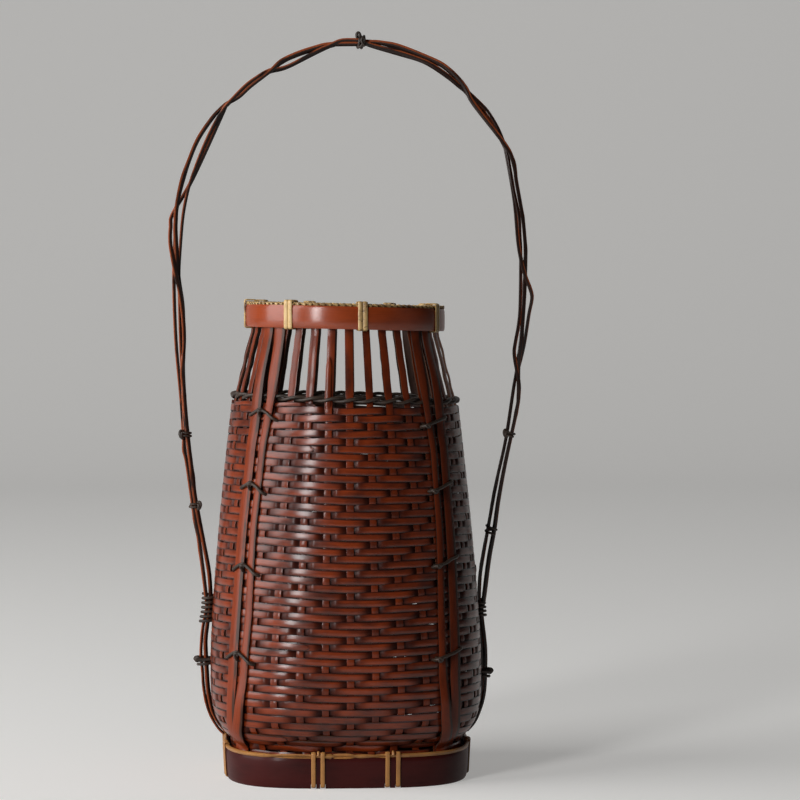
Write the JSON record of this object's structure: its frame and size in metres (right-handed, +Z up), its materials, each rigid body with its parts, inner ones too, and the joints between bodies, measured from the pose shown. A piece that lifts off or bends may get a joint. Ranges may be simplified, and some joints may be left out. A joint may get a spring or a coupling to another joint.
{
  "type": "ikebana basket",
  "caption": "Woven bamboo flower basket, square at the foot and round at the neck, with an open staked collar, hooped rim, tall twisted branch handle and lift-out water tube.",
  "frame": {"origin": "on the floor under the middle of the basket", "axes": "+Z up, -Y towards the viewer of the picture, the handle spans the basket along X"},
  "size_m": [0.2387, 0.1759, 0.4806],
  "materials": {
    "band_bamboo": "satin, smoked maroon bamboo",
    "gold_rattan": "satin golden rattan",
    "red_bamboo": "glossy dark red lacquered bamboo",
    "rim_bamboo": "glossy orange-red lacquered bamboo",
    "dark_rattan": "dull dark brown rattan",
    "dark_branch": "glossy near-black smoked bamboo",
    "tube_bamboo": "plain dried bamboo"
  },
  "bodies": {
    "basket": {"base_band": "band_bamboo", "base_edging": "gold_rattan", "base_wrap_1": "gold_rattan", "base_wrap_2": "gold_rattan", "base_wrap_3": "gold_rattan", "base_wrap_4": "gold_rattan", "base_wrap_5": "gold_rattan", "base_wrap_6": "gold_rattan", "base_wrap_7": "gold_rattan", "base_wrap_8": "gold_rattan", "woven_body": "red_bamboo", "woven_floor": "red_bamboo", "stakes_front": "red_bamboo", "stakes_right": "red_bamboo", "stakes_back": "red_bamboo", "stakes_left": "red_bamboo", "neck_ring": "dark_rattan", "rib_front_right_1": "red_bamboo", "rib_front_right_2": "red_bamboo", "rib_back_right_1": "red_bamboo", "rib_back_right_2": "red_bamboo", "rib_back_left_1": "red_bamboo", "rib_back_left_2": "red_bamboo", "rib_front_left_1": "red_bamboo", "rib_front_left_2": "red_bamboo", "rib_tie_front_right_1": "dark_rattan", "rib_tie_front_right_2": "dark_rattan", "rib_tie_front_right_3": "dark_rattan", "rib_tie_front_right_4": "dark_rattan", "rib_tie_back_right_1": "dark_rattan", "rib_tie_back_right_2": "dark_rattan", "rib_tie_back_right_3": "dark_rattan", "rib_tie_back_right_4": "dark_rattan", "rib_tie_back_left_1": "dark_rattan", "rib_tie_back_left_2": "dark_rattan", "rib_tie_back_left_3": "dark_rattan", "rib_tie_back_left_4": "dark_rattan", "rib_tie_front_left_1": "dark_rattan", "rib_tie_front_left_2": "dark_rattan", "rib_tie_front_left_3": "dark_rattan", "rib_tie_front_left_4": "dark_rattan", "rim_band_outer": "rim_bamboo", "rim_band_inner": "band_bamboo", "rim_edging": "gold_rattan", "rim_wrap_1": "gold_rattan", "rim_wrap_2": "gold_rattan", "rim_wrap_3": "gold_rattan", "rim_wrap_4": "gold_rattan", "rim_wrap_5": "gold_rattan", "rim_wrap_6": "gold_rattan", "rim_wrap_7": "gold_rattan", "rim_wrap_8": "gold_rattan", "handle_branch_1": "dark_branch", "handle_branch_2": "dark_branch", "handle_branch_3": "dark_branch", "handle_branch_4": "dark_branch", "handle_knot": "dark_rattan", "handle_lashing_right": "dark_rattan", "handle_lashing_left": "dark_rattan"},
    "water_tube": {"water_tube": "tube_bamboo"}
  },
  "joints": [
    {"name": "water_tube_lift", "type": "slide", "parent": "basket", "child": "water_tube", "axis": [0, 0, 1], "range_m": [0, 0.295]}
  ]
}
